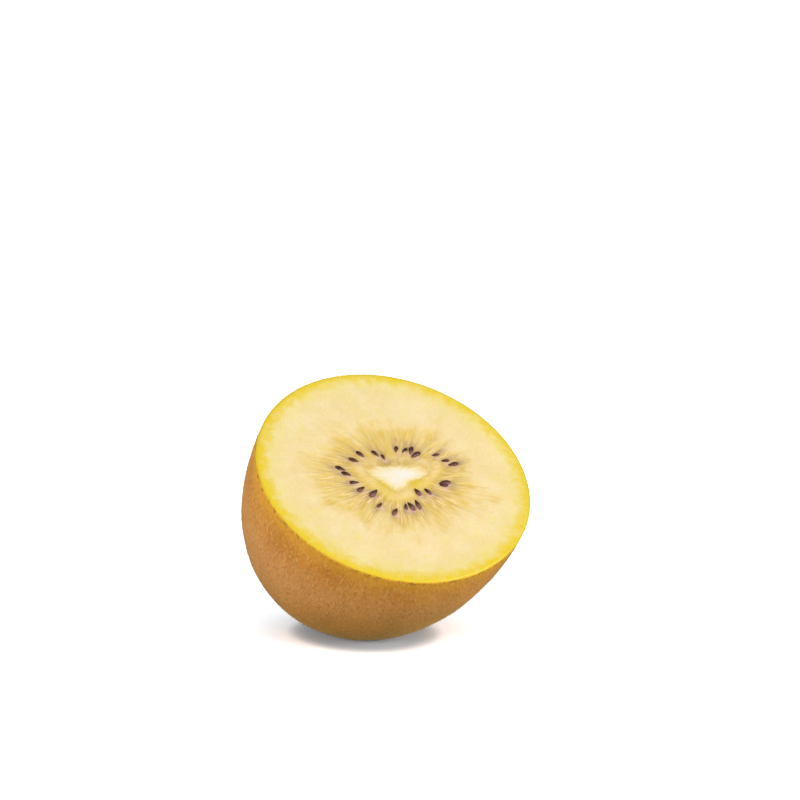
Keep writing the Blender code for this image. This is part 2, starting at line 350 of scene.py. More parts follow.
def reading(tree, name):
    """A stored number of the mesh, as an output for the nodes."""
    return add_node(tree, "ShaderNodeAttribute", attribute_name=name).outputs["Fac"]


def plus(tree, first, second):
    """The sum of two values."""
    return add_node(tree, "ShaderNodeMath", {0: first, 1: second}, operation="ADD").outputs[0]


def times(tree, first, second):
    """The product of two values."""
    return add_node(tree, "ShaderNodeMath", {0: first, 1: second}, operation="MULTIPLY").outputs[0]


def scaled(tree, vector, scale):
    """A vector with each of its values multiplied by its own."""
    node = add_node(tree, "ShaderNodeVectorMath", {0: vector, 1: scale}, operation="MULTIPLY")
    return node.outputs["Vector"]


def combined(tree, x, y, z):
    """A vector made of three values."""
    return add_node(tree, "ShaderNodeCombineXYZ", {"X": x, "Y": y, "Z": z}).outputs["Vector"]


def ramp(tree, value, start, end, low=0.0, high=1.0):
    """A smooth step between two values."""
    steps = {"Value": value, "From Min": start, "From Max": end, "To Min": low, "To Max": high}
    return add_node(tree, "ShaderNodeMapRange", steps, interpolation_type="SMOOTHSTEP").outputs["Result"]


def blend_colour(tree, share, first, second):
    """A blend of two colours, of which the share is that of the second."""
    first, second = (
        colour if isinstance(colour, bpy.types.NodeSocket) else (*colour, 1.0) for colour in (first, second))
    return add_node(tree, "ShaderNodeMix", {0: share, 6: first, 7: second}, data_type="RGBA").outputs[2]


def grain(tree, vector, scale, detail=3.0, roughness=0.55):
    """Cloudy noise, from 0 to 1."""
    return add_node(tree, "ShaderNodeTexNoise", {
        "Vector": vector, "Scale": scale, "Detail": detail, "Roughness": roughness}).outputs["Fac"]


def bump(tree, shader, height, distance, strength):
    """Relief that is too fine for the mesh."""
    node = add_node(tree, "ShaderNodeBump", {"Height": height, "Distance": distance, "Strength": strength})
    feed(tree, shader.inputs["Normal"], node.outputs["Normal"])


def new_material(name, finish):
    """A material with its tree, its shader, set to an even finish, and its Object coordinates."""
    material = bpy.data.materials.new(name)
    material.use_nodes = True
    tree = material.node_tree
    shader = tree.nodes["Principled BSDF"]
    for label, value in finish.items():
        shader.inputs[label].default_value = value
    return material, tree, shader, add_node(tree, "ShaderNodeTexCoord").outputs["Object"]


def pulp_group():
    """Fruit pulp: soft cloudy patches and fine cells. Shared by the flesh and the core."""
    group, given, end = new_group(
        "fruit_pulp", "ShaderNodeTree",
        (("Place", "Vector"), ("Cloud Scale", "Float"), ("Cell Scale", "Float")),
        (("Cloud", "Float"), ("Cells", "Float")))
    cloud = add_node(group, "ShaderNodeTexNoise", {
        "Vector": given["Place"], "Scale": given["Cloud Scale"], "Detail": 4.0})
    cells = add_node(group, "ShaderNodeTexVoronoi", {
        "Vector": given["Place"], "Scale": given["Cell Scale"]}, feature="SMOOTH_F1")
    feed(group, end["Cloud"], cloud.outputs["Fac"])
    feed(group, end["Cells"], cells.outputs["Distance"])
    return group


CREAM = (0.77, 0.61, 0.285)
PALE = (0.82, 0.69, 0.415)
LIME = (0.74, 0.66, 0.14)
GOLD = (0.70, 0.485, 0.06)
OCHRE = (0.46, 0.30, 0.06)
DEEP_GOLD = (0.67, 0.47, 0.0)
OLIVE = (0.46, 0.30, 0.06)
TIP_GOLD = (0.75, 0.51, 0.145)
RAY_CREAM = (0.85, 0.67, 0.38)
RIM_YELLOW = (0.74, 0.545, 0.01)
# Colour of the smudge behind each seed, partly painted pocket shade.
SMUDGE_AND_SHADE = (0.33, 0.19, 0.155)
# Colour of the pale spot below each seed, partly a painted glint.
ARIL_AND_GLINT = (0.74, 0.48, 0.37)


def core_surround_group():
    """The flesh beside the core: olive above it, deep gold patches below, paler gold elsewhere."""
    group, given, end = new_group(
        "core_surround", "ShaderNodeTree", (("Place", "Vector"), ("Golds", "Float"), ("Olives", "Float")),
        (("Tone", "Color"),))
    patchy = grain(group, given["Place"], 620.0, 3.0, 0.6)
    tone = blend_colour(group, ramp(group, patchy, 0.4, 0.62, 0.0, 0.6), TIP_GOLD, CREAM)
    gold_share = times(group, given["Golds"], ramp(group, patchy, 0.34, 0.62, 1.0, 0.75))
    tone = blend_colour(group, gold_share, tone, DEEP_GOLD)
    olive_share = times(group, given["Olives"], ramp(group, patchy, 0.38, 0.6, 1.0, 0.25))
    feed(group, end["Tone"], blend_colour(group, olive_share, tone, OLIVE))
    return group


fruit_pulp = pulp_group()
core_surround = core_surround_group()


def beside_core(tree, place):
    """The tone of the flesh beside the core, for a mesh that stores where its patches lie."""
    patches = {"Golds": reading(tree, "golds"), "Olives": reading(tree, "olives")}
    return placed(tree, core_surround, {"Place": place, **patches})["Tone"]


flesh_material, tree, shader, place = new_material("ripe_flesh", {
    "Subsurface Weight": 0.35, "Subsurface Radius": (1.0, 0.6, 0.2), "Subsurface Scale": 0.0014,
    "Coat Weight": 0.1, "Coat Roughness": 0.25})
ray_space = combined(
    tree, times(tree, reading(tree, "ray_x"), 24.0), times(tree, reading(tree, "ray_y"), 24.0),
    times(tree, reading(tree, "core_distance"), 0.42))
fibres = grain(tree, ray_space, 1.0, 4.0, 0.6)
hairlines = grain(tree, scaled(tree, ray_space, (2.3, 2.3, 1.0)), 1.0, 2.0, 0.5)
pulp = placed(tree, fruit_pulp, {"Place": place, "Cloud Scale": 200.0, "Cell Scale": 1900.0})
cloud, cells = pulp["Cloud"], pulp["Cells"]
outer = blend_colour(tree, ramp(tree, cloud, 0.35, 0.68, 0.2, 0.85), CREAM, PALE)
outer = blend_colour(tree, ramp(tree, fibres, 0.45, 0.75, 0.0, 0.35), outer, PALE)
outer = blend_colour(tree, ramp(tree, cells, 0.25, 0.6, 0.0, 0.12), outer, GOLD)
outer = blend_colour(tree, ramp(tree, grain(tree, place, 330.0, 2.0), 0.52, 0.72, 0.0, 0.3), outer, LIME)
chamber_mask = reading(tree, "chambers")
core_edge = reading(tree, "core_distance")
upper_side = ramp(tree, reading(tree, "ray_y"), 0.3, 0.85)
chamber_share = times(tree, chamber_mask, ramp(tree, cloud, 0.3, 0.7, 0.7, 1.0))
inner = blend_colour(tree, chamber_share, outer, GOLD)
ochre_start = ramp(tree, core_edge, 1.6, 3.4)
ochre_band = times(tree, ochre_start, ramp(tree, core_edge, 4.5, 11.5, 0.75, 0.1))
ochre_share = times(tree, ochre_band, ramp(tree, fibres, 0.36, 0.62, 0.25, 1.0))
ochre_share = times(tree, ochre_share, ramp(tree, upper_side, 0.0, 1.0, 1.0, 0.55))
ochre_share = times(tree, ochre_share, chamber_mask)
inner = blend_colour(tree, ochre_share, inner, OCHRE)
wall_share = times(tree, reading(tree, "walls"), ramp(tree, hairlines, 0.44, 0.62, 0.0, 0.75))
wall_share = times(tree, wall_share, ramp(tree, upper_side, 0.0, 1.0, 1.0, 0.45))
inner = blend_colour(tree, wall_share, inner, RAY_CREAM)
gold_by_core = beside_core(tree, place)
gold_by_core = blend_colour(tree, ramp(tree, hairlines, 0.5, 0.7, 0.0, 0.4), gold_by_core, RAY_CREAM)
inner = blend_colour(tree, ramp(tree, core_edge, 0.8, 3.6, 0.8, 0.0), inner, gold_by_core)
inner = blend_colour(tree, ramp(tree, core_edge, 0.0, 1.2, 1.0, 0.0), inner, gold_by_core)
# Painted shade: a dark purple-brown smudge behind each seed, partly the chamber's own colour.
smudge_and_shade_share = times(tree, reading(tree, "smudges_and_shade"), ramp(tree, fibres, 0.35, 0.65, 0.3, 0.75))
inner = blend_colour(tree, smudge_and_shade_share, inner, SMUDGE_AND_SHADE)
# Painted glint: a pale pinkish spot below each seed, partly the aril's own colour.
inner = blend_colour(tree, times(tree, reading(tree, "arils_and_glints"), 0.8), inner, ARIL_AND_GLINT)
mottled = grain(tree, place, 560.0, 3.0, 0.6)
rim = plus(tree, reading(tree, "rim_distance"), ramp(tree, mottled, 0.3, 0.7, -0.7, 0.7))
flesh_colour = blend_colour(tree, ramp(tree, rim, 1.0, 7.0, 0.42, 0.0), inner, LIME)
flesh_colour = blend_colour(tree, ramp(tree, rim, 0.0, 3.4, 1.0, 0.0), flesh_colour, RIM_YELLOW)
feed(tree, shader.inputs["Base Color"], flesh_colour)
feed(tree, shader.inputs["Roughness"], ramp(tree, cells, 0.1, 0.6, 0.36, 0.52))
bump(tree, shader, plus(tree, times(tree, cells, 0.5), fibres), 0.00006, 0.5)

flesh = put_in_scene("flesh_body", flesh_mesh)
flesh_mesh.materials.append(flesh_material)
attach(flesh, "root")
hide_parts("flesh")


# The core: the pale, firm column in the middle of the fruit, which fed the seeds. It grew as one
# with the flesh round it, so its cut end is flush with the face and its edge hardly shows.
CORE_STEPS = 240
CORE_END_RINGS = (0.35, 0.6, 0.78, 0.9, 0.97, 1.0)
CORE_DOME = 0.05
CORE_OVERLAP = 0.12
CORE_EDGE_SUNK = 0.01
CORE_WHITE = (0.81, 0.77, 0.69)
CORE_YELLOW = (0.81, 0.67, 0.34)

# How far the core's pale middle reaches, in millimetres, at turns about its centre, in degrees
PALE_REACH = (
    (1, 6.8), (18, 5.3), (30, 3.9), (45, 3.1), (83, 2.5), (110, 2.8), (125, 3.3), (140, 4.4), (164, 6.3),
    (178, 5.0), (194, 4.1), (213, 3.7), (232, 4.1), (245, 4.2), (265, 3.4), (300, 2.3), (320, 2.7),
    (338, 3.6), (350, 5.5))

core_turns = np.linspace(0.0, 2.0 * math.pi, CORE_STEPS, endpoint=False)
core_edge_radius = core_outline(core_turns, CORE_OVERLAP)
core_rows = [
    (share, CORE_DOME * (1.0 - share ** 3) - CORE_EDGE_SUNK * share ** 3) for share in CORE_END_RINGS]
core_rows += [(width, -CORE_LENGTH * share) for share, width in CORE_TAPER]
core_rings = np.stack([
    to_frame(*about_core(core_turns, core_edge_radius * width), height) for width, height in core_rows])
core_mesh = ring_mesh(
    "core_column", core_rings, to_frame(*CORE_CENTRE, CORE_DOME), to_frame(*CORE_CENTRE, -CORE_LENGTH))
pale_turns, pale_radii = zip(*PALE_REACH)
pale_radius = np.interp(core_turns, np.radians(pale_turns), pale_radii, period=2.0 * math.pi)
end_widths = [*CORE_END_RINGS, *[1.0] * len(CORE_TAPER)]
store(core_mesh, "pale_share", np.outer(end_widths, core_edge_radius / pale_radius).ravel())
for name, values in (
        ("golds", towards(core_turns, GOLD_PATCHES)), ("olives", towards(core_turns, OLIVE_PATCHES)),
        ("ray_x", np.cos(core_turns)), ("ray_y", np.sin(core_turns))):
    store(core_mesh, name, np.tile(values, len(core_rows)))

core_material, tree, shader, place = new_material("pale_core", {
    "Subsurface Weight": 0.35, "Subsurface Radius": (1.0, 0.7, 0.35), "Subsurface Scale": 0.0018})
pulp = placed(tree, fruit_pulp, {"Place": place, "Cloud Scale": 420.0, "Cell Scale": 2600.0})
cloud, cells = pulp["Cloud"], pulp["Cells"]
middle = blend_colour(tree, ramp(tree, cloud, 0.4, 0.75, 0.0, 0.5), CORE_WHITE, PALE)
pale_share = reading(tree, "pale_share")
spread = combined(
    tree, times(tree, reading(tree, "ray_x"), 9.0), times(tree, reading(tree, "ray_y"), 9.0), pale_share)
bleeding = ramp(tree, grain(tree, spread, 1.0, 3.0), 0.3, 0.7, -0.09, 0.09)
ragged_share = plus(tree, pale_share, bleeding)
core_tone = blend_colour(tree, ramp(tree, ragged_share, 0.35, 0.95), middle, CORE_YELLOW)
core_tone = blend_colour(tree, ramp(tree, ragged_share, 0.78, 1.1), core_tone, beside_core(tree, place))
feed(tree, shader.inputs["Base Color"], core_tone)
feed(tree, shader.inputs["Roughness"], ramp(tree, cells, 0.1, 0.6, 0.38, 0.55))
bump(tree, shader, cells, 0.00006, 0.6)

core = put_in_scene("core_column", core_mesh)
core_mesh.materials.append(core_material)
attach(core, "root")
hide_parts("core")


# The seeds: small, hard, dark and shiny, each like a flattened drop with its point towards the core.
# They grew in the chambers, and the cut leaves them lying half sunk in their pockets.
SEED_LENGTH = 2.3
SEED_WIDTH = 1.05
SEED_THICKNESS = 0.95
SEED_SUNK = 0.24
SEED_SUNK_SPREAD = 0.2
SEED_TWIST = 0.8
SEED_ROLL = 0.25
SEED_LEAST_GROWTH = 0.76
SEED_GROWTH_SPREAD = 0.4
SEED_WIDTH_SPREAD = 0.2
SEED_NARROWING = 0.42
SEED_NARROW_FROM = 0.35
SEED_MIDDLE_WIDTH = 0.86
SEED_POSE_DRAW = 7
SEED_DENTS = 0.06
SEED_DENT_NOISE = 1400.0
SEED_DARK = (0.028, 0.006, 0.003)
SEED_BROWN = (0.095, 0.028, 0.018)
# Pink of the painted highlight on each seed's lower side.
SEED_PINK_HIGHLIGHT = (0.22, 0.095, 0.08)


def new_node_tool(name, inputs):
    """A Geometry Nodes tree with named inputs, and its ends."""
    geometry = ("Geometry", "Geometry")
    return new_group(name, "GeometryNodeTree", (geometry, *inputs, ("Finish", "Material")), (geometry,))


def changed(tree, kind, geometry, inputs=None, **settings):
    """The geometry that comes out of a node that changes it."""
    inputs = {"Geometry": geometry, **(inputs or {})}
    return add_node(tree, "GeometryNode" + kind, inputs, **settings).outputs["Geometry"]


def kept(tree, geometry, name, value):
    """The geometry with a value stored on its points, under a name."""
    inputs = {"Name": name, "Value": value}
    return changed(tree, "StoreNamedAttribute", geometry, inputs, data_type="FLOAT", domain="POINT")


def named(tree, name, kind):
    """A value that the points carry under a name."""
    node = add_node(tree, "GeometryNodeInputNamedAttribute", {"Name": name}, data_type=kind)
    return node.outputs["Attribute"]


def run_node_tool(carrier, tree, values):
    """Run a tree on an object and give the plain mesh that comes out."""
    modifier = carrier.modifiers.new(tree.name, "NODES")
    modifier.node_group = tree
    for item in tree.interface.items_tree:
        if item.in_out == "INPUT" and item.name in values:
            modifier[item.identifier] = values[item.name]
    evaluated = carrier.evaluated_get(bpy.context.evaluated_depsgraph_get())
    mesh = bpy.data.meshes.new_from_object(evaluated)
    carrier.modifiers.remove(modifier)
    return mesh


def seed_tool():
    """One dark seed, shaped from a ball, set on every point with its own turn and size."""
    tree, given, end = new_node_tool("seed_setter", (
        ("Size", "Vector"), ("Narrowing", "Float"), ("Narrow From", "Float"), ("Middle Width", "Float"),
        ("Dents", "Float"), ("Dent Noise", "Float")))
    ball = add_node(tree, "GeometryNodeMeshUVSphere", {"Segments": 20, "Rings": 12}).outputs["Mesh"]
    ball = changed(tree, "Transform", ball, {"Rotation": (0.0, math.pi / 2.0, 0.0)})
    position = add_node(tree, "GeometryNodeInputPosition").outputs["Position"]
    along = add_node(tree, "ShaderNodeSeparateXYZ", {"Vector": position}).outputs["X"]
    behind = add_node(tree, "ShaderNodeMath", {0: along, 1: given["Narrow From"]}, operation="MINIMUM")
    width = plus(tree, times(tree, behind.outputs[0], given["Narrowing"]), given["Middle Width"])
    drop = scaled(tree, scaled(tree, position, combined(tree, 1.0, width, width)), given["Size"])
    seed = kept(tree, changed(tree, "SetPosition", ball, {"Position": drop}), "seed_along", along)
    setter = add_node(tree, "GeometryNodeInstanceOnPoints", {
        "Points": given["Geometry"], "Instance": seed, "Rotation": named(tree, "facing", "FLOAT_VECTOR"),
        "Scale": named(tree, "growth", "FLOAT_VECTOR")})
    real = changed(tree, "RealizeInstances", setter.outputs["Instances"])
    dents = add_node(tree, "ShaderNodeTexNoise", {"Scale": given["Dent Noise"]}).outputs["Fac"]
    centred = add_node(tree, "ShaderNodeMath", {0: dents, 1: 0.5}, operation="SUBTRACT").outputs[0]
    outward = add_node(tree, "ShaderNodeVectorMath", {
        0: add_node(tree, "GeometryNodeInputNormal").outputs["Normal"],
        "Scale": times(tree, centred, given["Dents"])}, operation="SCALE").outputs["Vector"]
    smooth = changed(tree, "SetShadeSmooth", changed(tree, "SetPosition", real, {"Offset": outward}))
    feed(tree, end["Geometry"], changed(tree, "SetMaterial", smooth, {"Material": given["Finish"]}))
    return tree


seed_material, tree, shader, place = new_material("seed_coat", {
    "Specular IOR Level": 0.22, "Coat Weight": 0.12, "Coat Roughness": 0.15})
mottle = grain(tree, place, 1500.0, 3.0)
tone = blend_colour(tree, ramp(tree, mottle, 0.35, 0.7), SEED_DARK, SEED_BROWN)
blunt_end = ramp(tree, reading(tree, "seed_along"), 0.35, 1.0, 0.0, 0.6)
tone = blend_colour(tree, blunt_end, tone, SEED_BROWN)
# Painted highlight: each seed turns pale pink on its lower side across the face, as if lit from below, and
# stays dark on its upper side.
painted_highlight_low_side = ramp(tree, reading(tree, "seed_high"), -0.62, 0.1, 0.85, 0.0)
feed(tree, shader.inputs["Base Color"], blend_colour(tree, painted_highlight_low_side, tone, SEED_PINK_HIGHLIGHT))
feed(tree, shader.inputs["Roughness"], ramp(tree, mottle, 0.3, 0.7, 0.24, 0.42))
bump(tree, shader, mottle, 0.00003, 0.5)

seed_draw = random.Random(SEED_POSE_DRAW)
lean = Matrix.Rotation(FACE_TILT, 4, "X")
seed_points = []
seed_facings = []
seed_growths = []
for turn, x, y in seeds:
    sunk = SEED_SUNK + SEED_SUNK_SPREAD * seed_draw.random()
    seed_points.append(to_frame(x, y, -sunk))
    twist = turn + SEED_TWIST * (seed_draw.random() - 0.5)
    roll = SEED_ROLL * (seed_draw.random() - 0.5)
    facing = lean @ Matrix.Rotation(twist, 4, "Z") @ Matrix.Rotation(roll, 4, "X")
    seed_facings.extend(facing.to_euler())
    growth = SEED_LEAST_GROWTH + SEED_GROWTH_SPREAD * seed_draw.random()
    seed_growths.extend((growth, growth * (0.9 + SEED_WIDTH_SPREAD * seed_draw.random()), growth))
point_mesh = bpy.data.meshes.new("seed_points")
point_mesh.from_pydata(seed_points, [], [])
for name, values in (("facing", seed_facings), ("growth", seed_growths)):
    point_mesh.attributes.new(name, "FLOAT_VECTOR", "POINT").data.foreach_set("vector", values)
seed_set = put_in_scene("seeds", point_mesh)
seed_set.data = run_node_tool(seed_set, seed_tool(), {
    "Size": (0.5 * SEED_LENGTH * MM, 0.5 * SEED_WIDTH * MM, 0.5 * SEED_THICKNESS * MM),
    "Narrowing": SEED_NARROWING, "Narrow From": SEED_NARROW_FROM, "Middle Width": SEED_MIDDLE_WIDTH,
    "Dents": SEED_DENTS * MM, "Dent Noise": SEED_DENT_NOISE, "Finish": seed_material})
seed_spots = np.array([vertex.co for vertex in seed_set.data.vertices]).reshape(SEED_COUNT, -1, 3)
seed_offsets = seed_spots - seed_spots.mean(axis=1, keepdims=True)
up_the_face = np.array((0.0, math.cos(FACE_TILT), math.sin(FACE_TILT)))
store(seed_set.data, "seed_high", (seed_offsets @ up_the_face / (0.5 * SEED_LENGTH * MM)).ravel())
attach(seed_set, "root")
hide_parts("flesh")


# The skin: thin, tough and a little velvety, golden tan with a fine scurf of paler and darker dots.
# It is cut off clean at the face. At the round end a corky scar shows where the stalk broke away.
SKIN_STEPS = 420
SKIN_RINGS = 110
SCAR_PIT_RADIUS = 1.7
SCAR_PIT_DEPTH = 1.3
SCAR_RING_RADIUS = 3.1
SCAR_RING_HEIGHT = 0.7
SCAR_RING_WIDTH = 0.9
SKIN_LUMPS = 0.5
SKIN_LUMP_NOISE = 90.0
SKIN_LUMPS_FROM_RIM = 3.0
SKIN_SCURF = 0.12
SKIN_SCURF_NOISE = 1500.0
SEAM_MERGE = 0.02
TAN = (0.78, 0.33, 0.042)
DARK_TAN = (0.60, 0.23, 0.024)
# Paler, bluer tan of the painted sheen up the sides of the skin.
PAINTED_SHEEN_TAN = (0.80, 0.39, 0.15)
DARK_DOT = (0.34, 0.125, 0.02)
PALE_DOT = (0.88, 0.50, 0.17)
UNDER_RIM = (0.82, 0.42, 0.02)
SCAR_BROWN = (0.20, 0.085, 0.03)


def skin_tool():
    """The skin's outer face: a grid wrapped round the fruit's rule, with its scar and its scurf."""
    values = (
        "Fruit Radius", "Half Depth", "Roundness", "Scar Pit Radius", "Scar Pit Depth", "Scar Ring Radius",
        "Scar Ring Height", "Scar Ring Width", "Tilt", "Lumps", "Lump Noise", "Lumps From Rim", "Scurf",
        "Scurf Noise", "Seam Merge")
    tree, given, end = new_node_tool("skin_turner", (
        ("Steps", "Int"), ("Rings", "Int"), *((name, "Float") for name in values),
        ("Face Centre", "Vector"), ("Axis Drift", "Vector")))

    def calc(operation, first, second=0.0):
        """A number worked out from one or two others."""
        return add_node(tree, "ShaderNodeMath", {0: first, 1: second}, operation=operation).outputs[0]

    def product(first, second):
        """The product of two numbers."""
        return calc("MULTIPLY", first, second)

    def vector(operation, first, name, second):
        """A vector worked out from another and from what goes into the named input."""
        node = add_node(tree, "ShaderNodeVectorMath", {0: first, name: second}, operation=operation)
        return node.outputs["Vector"]

    def bell(value):
        """A smooth bump, 1 where the value is 0."""
        return calc("EXPONENT", product(product(value, value), -1.0))

    def roughness(scale, detail, height):
        """How far a noise lifts or sinks the surface, over a height in all."""
        noise_inputs = {"Scale": scale, "Detail": detail}
        value = add_node(tree, "ShaderNodeTexNoise", noise_inputs).outputs["Fac"]
        return product(calc("SUBTRACT", value, 0.5), height)

    # A grid, in which X goes round the fruit and Y from the rim down to the pole
    grid = add_node(tree, "GeometryNodeMeshGrid", {
        "Size X": 1.0, "Size Y": 1.0, "Vertices X": given["Steps"], "Vertices Y": given["Rings"]})
    position = add_node(tree, "GeometryNodeInputPosition").outputs["Position"]
    split = add_node(tree, "ShaderNodeSeparateXYZ", {"Vector": position}).outputs
    around = product(calc("ADD", split["X"], 0.5), 2.0 * math.pi)
    down = product(calc("ADD", split["Y"], 0.5), 0.5 * math.pi)

    # The fruit's rule, with the scar at the pole
    power = calc("DIVIDE", 2.0, given["Roundness"])
    across = calc("POWER", calc("MAXIMUM", calc("COSINE", down), 0.0), power)
    radius = product(across, given["Fruit Radius"])
    depth = product(calc("POWER", calc("SINE", down), power), given["Half Depth"])
    pit = bell(calc("DIVIDE", radius, given["Scar Pit Radius"]))
    from_ring = calc("SUBTRACT", radius, given["Scar Ring Radius"])
    ring = bell(calc("DIVIDE", from_ring, given["Scar Ring Width"]))
    scar = calc("SUBTRACT", product(ring, given["Scar Ring Height"]), product(pit, given["Scar Pit Depth"]))
    height = product(calc("ADD", depth, scar), -1.0)
    turned = combined(
        tree, product(radius, calc("COSINE", around)), product(radius, calc("SINE", around)), height)
    wrapped = kept(tree, grid.outputs["Mesh"], "rim_distance", depth)
    wrapped = kept(tree, wrapped, "pole_distance", radius)
    wrapped = changed(tree, "SetPosition", wrapped, {"Position": turned})
    merged = changed(tree, "MergeByDistance", wrapped, {"Distance": given["Seam Merge"]})
    outward = add_node(tree, "GeometryNodeFlipFaces", {"Mesh": merged}).outputs["Mesh"]

    # The fruit's leaning axis, and its place in the part's frame
    drift = vector("SCALE", given["Axis Drift"], "Scale", split["Z"])
    turn = add_node(tree, "ShaderNodeVectorRotate", {
        "Vector": vector("ADD", position, 1, drift), "Angle": given["Tilt"]}, rotation_type="X_AXIS")
    in_place = vector("ADD", turn.outputs["Vector"], 1, given["Face Centre"])
    settled = changed(tree, "SetPosition", outward, {"Position": in_place})

    # Lumps that fade out at the rim, scurf all over, and the flat spot on the table
    normal = add_node(tree, "GeometryNodeInputNormal").outputs["Normal"]
    rim_fade = add_node(tree, "ShaderNodeMapRange", {
        "Value": named(tree, "rim_distance", "FLOAT"), "From Max": given["Lumps From Rim"]})
    lumps = product(roughness(given["Lump Noise"], 1.0, given["Lumps"]), rim_fade.outputs["Result"])
    rise = calc("ADD", lumps, roughness(given["Scurf Noise"], 2.0, given["Scurf"]))
    rough = changed(tree, "SetPosition", settled, {"Offset": vector("SCALE", normal, "Scale", rise)})
    flattened = combined(tree, split["X"], split["Y"], calc("MAXIMUM", split["Z"], 0.0))
    resting = changed(tree, "SetPosition", rough, {"Position": flattened})
    real = changed(tree, "RealizeInstances", changed(tree, "SetShadeSmooth", resting))
    feed(tree, end["Geometry"], changed(tree, "SetMaterial", real, {"Material": given["Finish"]}))
    return tree


def scurf_group():
    """The scurf of a kiwi's skin: paler corky dots and darker flecks over cloudy patches."""
    group, given, end = new_group(
        "skin_scurf", "ShaderNodeTree", (("Place", "Vector"), ("Dot Scale", "Float")),
        (("Dots", "Float"), ("Flecks", "Float"), ("Patches", "Float")))
    warped = add_node(group, "ShaderNodeVectorMath", {
        0: grain(group, given["Place"], 900.0, 2.0), 1: (0.0005, 0.0005, 0.0005), 2: given["Place"],
    }, operation="MULTIPLY_ADD").outputs["Vector"]
    dots = add_node(group, "ShaderNodeTexVoronoi", {
        "Vector": warped, "Scale": given["Dot Scale"]}, feature="F1").outputs["Distance"]
    feed(group, end["Dots"], ramp(group, dots, 0.1, 0.5, 1.0, 0.0))
    feed(group, end["Flecks"], ramp(group, grain(group, given["Place"], 1900.0, 3.0), 0.52, 0.72))
    feed(group, end["Patches"], grain(group, given["Place"], 140.0, 4.0))
    return group


skin_material, tree, shader, place = new_material("velvet_skin", {
    "Specular IOR Level": 0.3, "Sheen Weight": 0.24, "Sheen Roughness": 0.38,
    "Sheen Tint": (1.0, 0.84, 0.32, 1.0)})
upright = add_node(tree, "ShaderNodeVectorRotate", {
    "Vector": place, "Angle": -FACE_TILT}, rotation_type="X_AXIS")
drawn_out = scaled(tree, upright.outputs["Vector"], (1.0, 1.0, 0.45))
scurf = placed(tree, scurf_group(), {"Place": drawn_out, "Dot Scale": 1700.0})
dots, flecks = scurf["Dots"], scurf["Flecks"]
skin_rim = reading(tree, "rim_distance")
tone = blend_colour(tree, ramp(tree, scurf["Patches"], 0.3, 0.72), DARK_TAN, TAN)
high_up = add_node(tree, "ShaderNodeSeparateXYZ", {"Vector": place}).outputs["Z"]
# Painted sheen and shade: the skin turns paler and bluer higher up the sides and away from the rim, and
# stays darker and browner low down by the table.
painted_sheen_share = times(tree, ramp(tree, high_up, 0.003, 0.014, 0.0, 0.55), ramp(tree, skin_rim, 0.003, 0.013))
tone = blend_colour(tree, painted_sheen_share, tone, PAINTED_SHEEN_TAN)
tone = blend_colour(tree, times(tree, flecks, 0.45), tone, DARK_DOT)
tone = blend_colour(tree, times(tree, dots, 0.3), tone, PALE_DOT)
streaks = grain(tree, drawn_out, 2400.0, 3.0, 0.6)
tone = blend_colour(tree, ramp(tree, streaks, 0.48, 0.72, 0.0, 0.6), tone, PALE_DOT)
tone = blend_colour(tree, ramp(tree, streaks, 0.28, 0.46, 0.5, 0.0), tone, DARK_TAN)
tone = blend_colour(tree, ramp(tree, skin_rim, 0.0, 0.0045, 0.7, 0.0), tone, UNDER_RIM)
scar_share = ramp(tree, reading(tree, "pole_distance"), 0.0025, 0.0085, 0.85, 0.0)
tone = blend_colour(tree, scar_share, tone, SCAR_BROWN)
specks = ramp(tree, grain(tree, place, 1100.0, 2.0), 0.5, 0.62)
specks = times(tree, specks, ramp(tree, skin_rim, 0.0003, 0.0016, 0.7, 0.0))
tone = blend_colour(tree, specks, tone, DARK_DOT)
tone = blend_colour(tree, ramp(tree, skin_rim, 0.0, 0.00025, 1.0, 0.0), tone, RIM_YELLOW)
feed(tree, shader.inputs["Base Color"], tone)
feed(tree, shader.inputs["Roughness"], ramp(tree, dots, 0.0, 1.0, 0.62, 0.8))
bump(tree, shader, plus(tree, dots, times(tree, flecks, 0.6)), 0.0001, 0.6)

skin = put_in_scene("velvet_skin", bpy.data.meshes.new("velvet_skin"))
skin.data = run_node_tool(skin, skin_tool(), {
    "Steps": SKIN_STEPS + 1, "Rings": SKIN_RINGS, "Fruit Radius": FRUIT_RADIUS * MM,
    "Half Depth": HALF_DEPTH * MM, "Roundness": ROUNDNESS, "Scar Pit Radius": SCAR_PIT_RADIUS * MM,
    "Scar Pit Depth": SCAR_PIT_DEPTH * MM, "Scar Ring Radius": SCAR_RING_RADIUS * MM,
    "Scar Ring Height": SCAR_RING_HEIGHT * MM, "Scar Ring Width": SCAR_RING_WIDTH * MM,
    "Tilt": FACE_TILT, "Lumps": SKIN_LUMPS * MM, "Lump Noise": SKIN_LUMP_NOISE,
    "Lumps From Rim": SKIN_LUMPS_FROM_RIM * MM, "Scurf": SKIN_SCURF * MM,
    "Scurf Noise": SKIN_SCURF_NOISE, "Seam Merge": SEAM_MERGE * MM,
    "Face Centre": [value * MM for value in FACE_CENTRE], "Axis Drift": (*AXIS_DRIFT, 0.0),
    "Finish": skin_material})
outer_skin = skin.data.copy()
wall = skin.modifiers.new("Wall", "SOLIDIFY")
wall.thickness = SKIN_WALL * MM
wall.offset = -1.0
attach(skin, "root")
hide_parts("skin")


